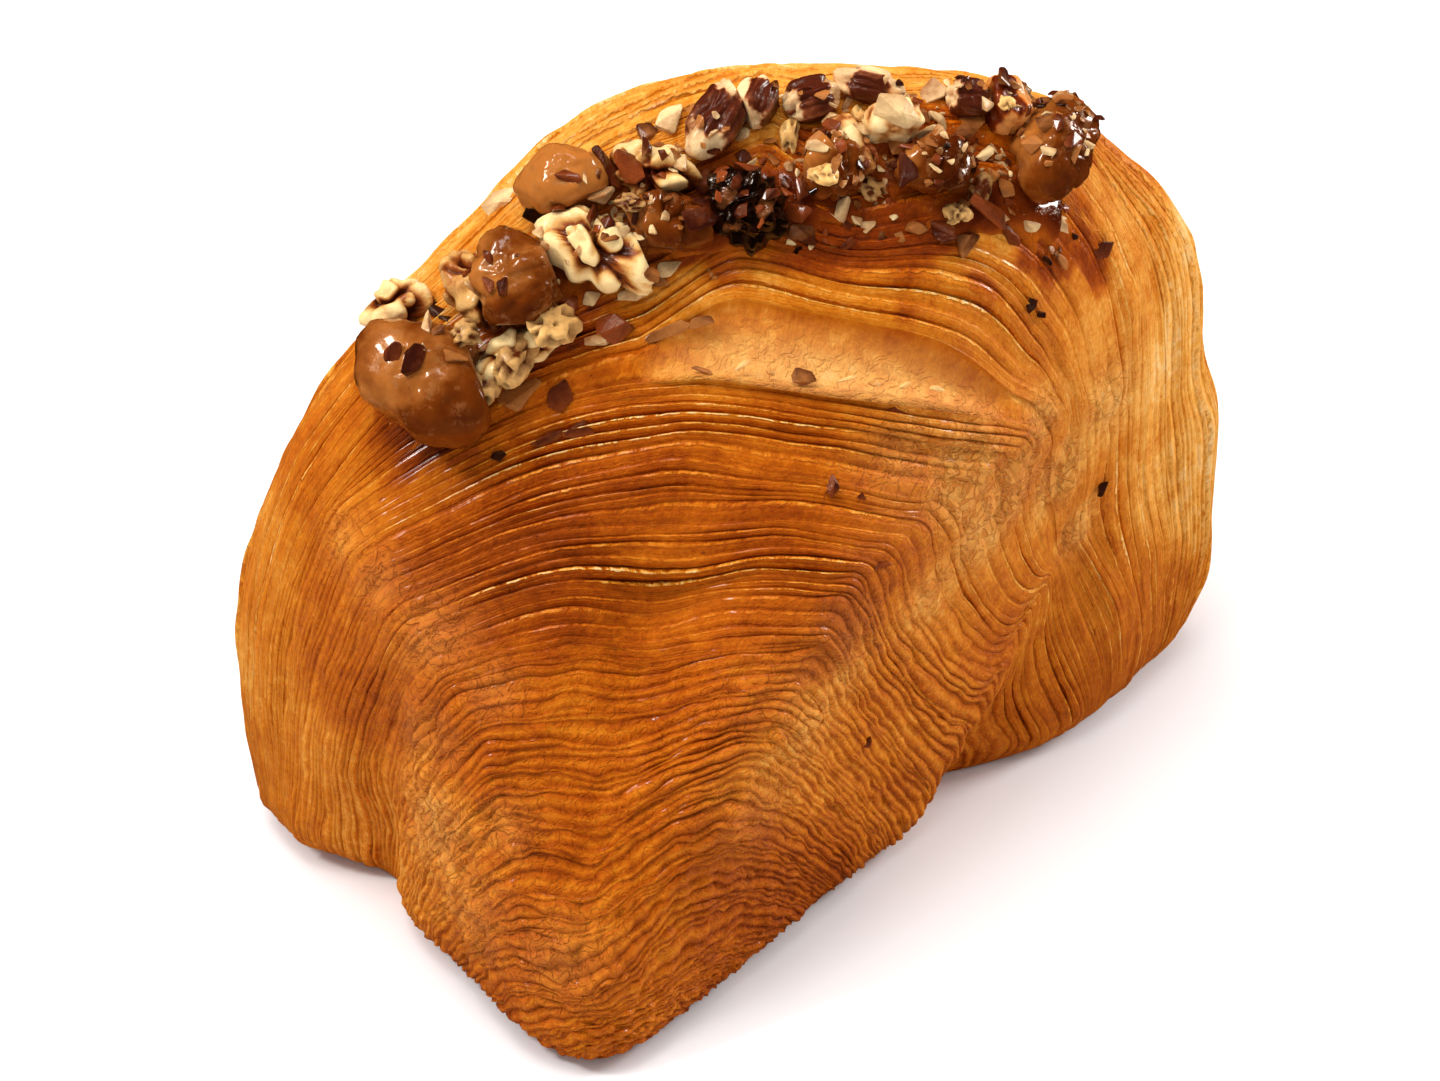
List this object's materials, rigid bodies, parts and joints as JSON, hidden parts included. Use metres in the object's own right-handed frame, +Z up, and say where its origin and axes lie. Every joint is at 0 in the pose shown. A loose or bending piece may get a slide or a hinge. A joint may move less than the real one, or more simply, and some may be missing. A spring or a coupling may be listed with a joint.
{
  "type": "danish pastry",
  "caption": "Tall folded bun of laminated dough with open layered flanks, its crest topped with caramel lumps, walnut and pecan pieces and chopped nuts.",
  "frame": {"origin": "middle of the bounding box, on the flat base", "axes": "+X along the crest with its band of toppings, -Y towards the broad front panel, +Z up"},
  "size_m": [0.1164, 0.1116, 0.088],
  "materials": {
    "laminated_crust": "baked laminated dough, golden to deep brown, thin flaky layer edges with a light sheen",
    "caramel": "glossy amber to dark brown caramel over nuts",
    "walnut": "pale cream nut flesh with brown skin in the folds, partly glazed",
    "pecan": "red-brown ridged nut skin with pale broken faces, glazed",
    "nut_meat": "pale chopped nut",
    "burnt_sugar": "near-black glossy burnt sugar with nut bits"
  },
  "bodies": {
    "root": {"pastry": "laminated_crust", "caramel_1": "caramel", "caramel_2": "caramel", "caramel_3": "caramel", "caramel_4": "caramel", "caramel_5": "caramel", "caramel_6": "caramel", "caramel_7": "caramel", "walnut_1": "walnut", "walnut_2": "walnut", "walnut_3": "walnut", "walnut_4": "walnut", "walnut_5": "walnut", "pecan_1": "pecan", "pecan_2": "pecan", "pecan_3": "pecan", "pecan_4": "pecan", "pecan_5": "pecan", "nut_slab": "nut_meat", "nut_chunk": "nut_meat", "nut_cup": "pecan", "burnt_cluster": "burnt_sugar"}
  },
  "joints": []
}
